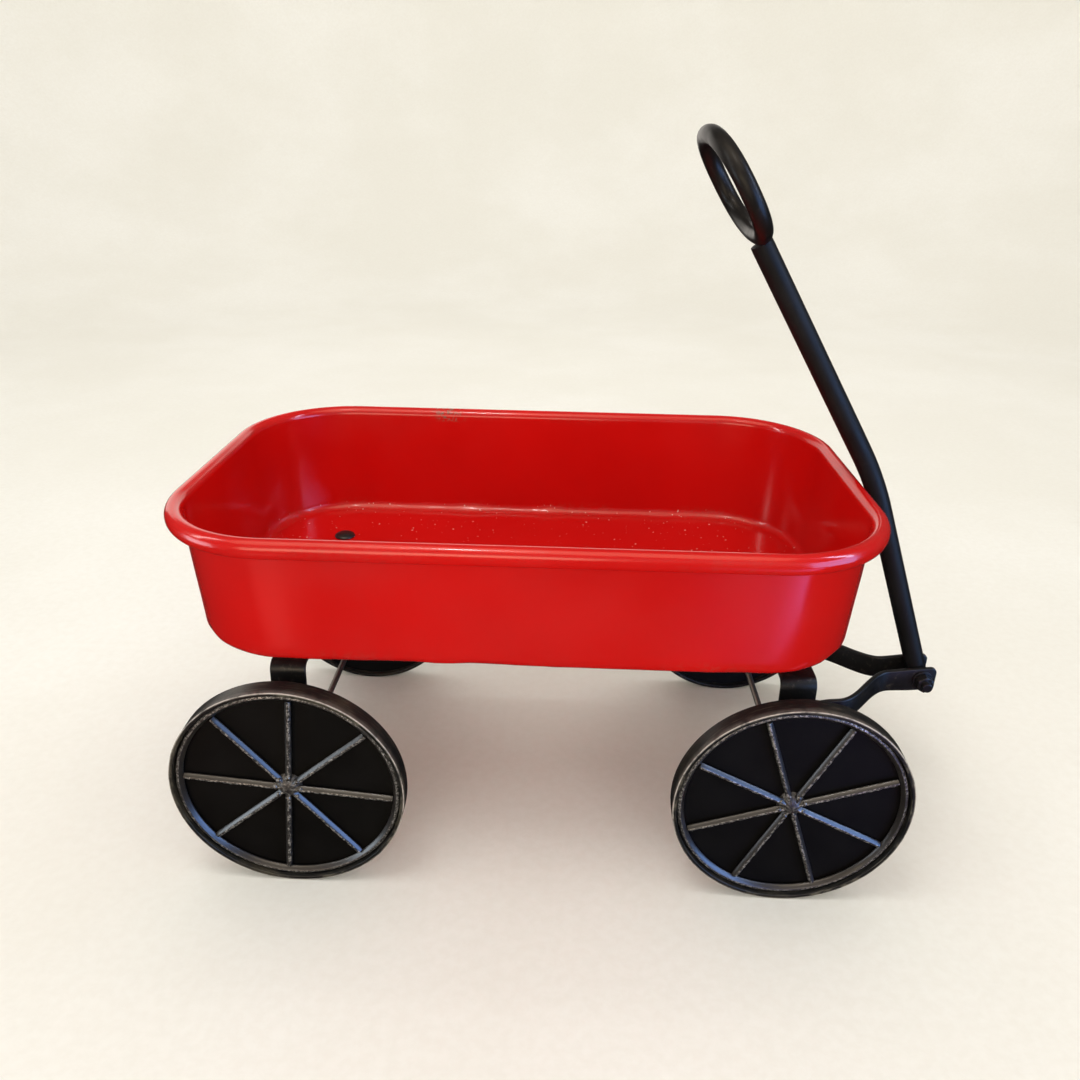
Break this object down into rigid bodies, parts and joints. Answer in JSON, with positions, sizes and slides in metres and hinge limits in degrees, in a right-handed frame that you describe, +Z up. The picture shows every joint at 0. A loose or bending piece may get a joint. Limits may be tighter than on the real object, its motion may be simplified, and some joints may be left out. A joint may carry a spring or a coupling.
{
  "type": "pull wagon",
  "caption": "Small pressed-steel pull wagon with a rolled-rim tray, strap axle brackets, spoked disc wheels, a steering yoke and a bent tube handle with an oval grip.",
  "frame": {"origin": "on the ground under the middle of the whole wagon, from the tray's back edge to the yoke's tip", "axes": "+X forward, from the tray towards the yoke; +Y to the wagon's left; +Z up"},
  "size_m": [0.5923, 0.305, 0.5264],
  "materials": {
    "enamel": "glossy red enamel",
    "strap": "satin black paint",
    "fastener": "satin black",
    "steel": "dull bare steel",
    "tube": "satin black paint",
    "grip": "glossy black",
    "tread": "black paint worn to brown",
    "disc": "matt black",
    "spoke": "black rubbed through to silver"
  },
  "bodies": {
    "chassis": {"tray": "enamel", "rear_bracket": "strap", "rear_bolt_left": "fastener", "rear_bolt_right": "fastener", "rear_spacer_left": "strap", "rear_spacer_right": "strap", "rear_washer_left": "fastener", "rear_washer_right": "fastener", "rear_nut_left": "fastener", "rear_nut_right": "fastener", "turntable_post": "strap", "kingpin": "fastener", "kingpin_washer": "fastener", "kingpin_nut": "fastener", "rear_axle": "steel", "rear_axle_washer_left": "fastener", "rear_axle_washer_right": "fastener"},
    "steering": {"front_bracket": "strap", "thrust_washer": "steel", "front_axle": "steel", "front_axle_washer_left": "fastener", "front_axle_washer_right": "fastener", "yoke_arm_left": "strap", "yoke_arm_right": "strap", "pivot_bolt": "fastener", "pivot_nut": "fastener", "pivot_washer_left": "fastener", "pivot_washer_right": "fastener"},
    "handle": {"handle_tube": "tube", "handle_grip": "grip"},
    "rear_left_wheel": {"rear_left_wheel_hoop": "tread", "rear_left_wheel_disc": "disc", "rear_left_wheel_ring": "spoke", "rear_left_wheel_spokes": "spoke", "rear_left_wheel_hub": "strap"},
    "rear_right_wheel": {"rear_right_wheel_hoop": "tread", "rear_right_wheel_disc": "disc", "rear_right_wheel_ring": "spoke", "rear_right_wheel_spokes": "spoke", "rear_right_wheel_hub": "strap"},
    "front_left_wheel": {"front_left_wheel_hoop": "tread", "front_left_wheel_disc": "disc", "front_left_wheel_ring": "spoke", "front_left_wheel_spokes": "spoke", "front_left_wheel_hub": "strap"},
    "front_right_wheel": {"front_right_wheel_hoop": "tread", "front_right_wheel_disc": "disc", "front_right_wheel_ring": "spoke", "front_right_wheel_spokes": "spoke", "front_right_wheel_hub": "strap"}
  },
  "joints": [
    {"name": "steer", "type": "hinge", "parent": "chassis", "child": "steering", "pos_m": [0.1521, 0, 0.172], "axis": [0, 0, 1], "range_deg": [-15, 15]},
    {"name": "handle_tilt", "type": "hinge", "parent": "steering", "child": "handle", "pos_m": [0.2851, 0, 0.1123], "axis": [0, 1, 0], "range_deg": [0, 128]},
    {"name": "rear_left_spin", "type": "hinge", "parent": "chassis", "child": "rear_left_wheel", "pos_m": [-0.2108, 0, 0.0854], "axis": [0, 1, 0], "continuous": true},
    {"name": "rear_right_spin", "type": "hinge", "parent": "chassis", "child": "rear_right_wheel", "pos_m": [-0.2108, 0, 0.0854], "axis": [0, 1, 0], "continuous": true},
    {"name": "front_left_spin", "type": "hinge", "parent": "steering", "child": "front_left_wheel", "pos_m": [0.1521, 0, 0.0854], "axis": [0, 1, 0], "continuous": true},
    {"name": "front_right_spin", "type": "hinge", "parent": "steering", "child": "front_right_wheel", "pos_m": [0.1521, 0, 0.0854], "axis": [0, 1, 0], "continuous": true}
  ]
}
